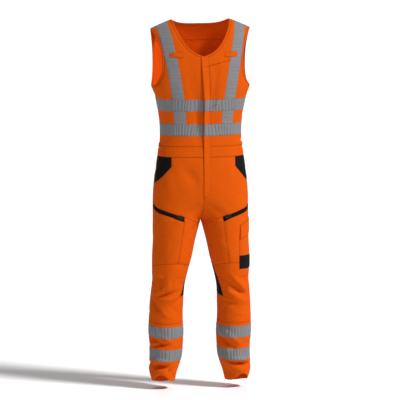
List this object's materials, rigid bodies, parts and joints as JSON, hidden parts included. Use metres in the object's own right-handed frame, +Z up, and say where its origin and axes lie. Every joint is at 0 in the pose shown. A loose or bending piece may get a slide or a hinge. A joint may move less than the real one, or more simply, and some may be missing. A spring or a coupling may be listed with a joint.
{
  "type": "bib overalls",
  "caption": "High-visibility bib overalls in worn form: sleeveless vest joined to trousers, with reflective tapes, fly placket, thigh zips and a cargo pocket.",
  "frame": {"origin": "midway between the shoulders, at the height where the neckline meets the shoulder seams", "axes": "+Z up, the wearer faces -Y, +X is the wearer's left"},
  "size_m": [0.4384, 0.2454, 1.5406],
  "materials": {
    "orange_cloth": "matte fluorescent orange twill",
    "black_cloth": "matte black reinforcing cloth",
    "reflective_tape": "grey segmented retroreflective tape",
    "zip_tape": "black coil zip on woven tape",
    "slider": "black painted zip slider",
    "pull_tab": "moulded black pull tab"
  },
  "bodies": {
    "garment": {"front_right": "orange_cloth", "front_left_yoke": "orange_cloth", "front_left": "orange_cloth", "back_yoke": "orange_cloth", "back_body": "orange_cloth", "neck_band_left": "orange_cloth", "neck_band_right": "orange_cloth", "armhole_band_left": "orange_cloth", "armhole_band_right": "orange_cloth", "placket": "orange_cloth", "chest_loop_left": "orange_cloth", "chest_loop_right": "orange_cloth", "chest_pocket": "orange_cloth", "waistband_back": "orange_cloth", "waistband_front_left": "orange_cloth", "waistband_front_right": "orange_cloth", "hip_front_left": "orange_cloth", "thigh_inner_left": "orange_cloth", "thigh_outer_left": "orange_cloth", "knee_panel_left": "orange_cloth", "shin_front_left": "orange_cloth", "seat_back_left": "orange_cloth", "calf_back_left": "orange_cloth", "hip_front_right": "orange_cloth", "thigh_inner_right": "orange_cloth", "thigh_outer_right": "orange_cloth", "knee_panel_right": "orange_cloth", "shin_front_right": "orange_cloth", "seat_back_right": "orange_cloth", "calf_back_right": "orange_cloth", "cargo_pocket": "orange_cloth", "cargo_flap": "orange_cloth", "hand_pocket_left": "black_cloth", "knee_insert_left": "black_cloth", "hand_pocket_right": "black_cloth", "knee_insert_right": "black_cloth", "cargo_patch": "black_cloth", "upper_hoop": "reflective_tape", "lower_hoop": "reflective_tape", "shoulder_strip_left": "reflective_tape", "brace_left": "reflective_tape", "leg_tape_upper_left": "reflective_tape", "leg_tape_lower_left": "reflective_tape", "shoulder_strip_right": "reflective_tape", "brace_right": "reflective_tape", "leg_tape_upper_right": "reflective_tape", "leg_tape_lower_right": "reflective_tape", "front_zip": "zip_tape", "thigh_zip_left": "zip_tape", "thigh_zip_right": "zip_tape", "zip_slider_left": "slider", "zip_slider_right": "slider"},
    "left_pull": {"pull_tab_left": "pull_tab"},
    "right_pull": {"pull_tab_right": "pull_tab"}
  },
  "joints": [
    {"name": "left_pull_hinge", "type": "hinge", "parent": "garment", "child": "left_pull", "pos_m": [0.11182, -0.10707, -0.82076], "axis": [-0.3183, 0.2935, 0.9014], "range_deg": [0, 120]},
    {"name": "right_pull_hinge", "type": "hinge", "parent": "garment", "child": "right_pull", "pos_m": [-0.11182, -0.10707, -0.82076], "axis": [-0.3183, -0.2935, -0.9014], "range_deg": [0, 120]}
  ]
}
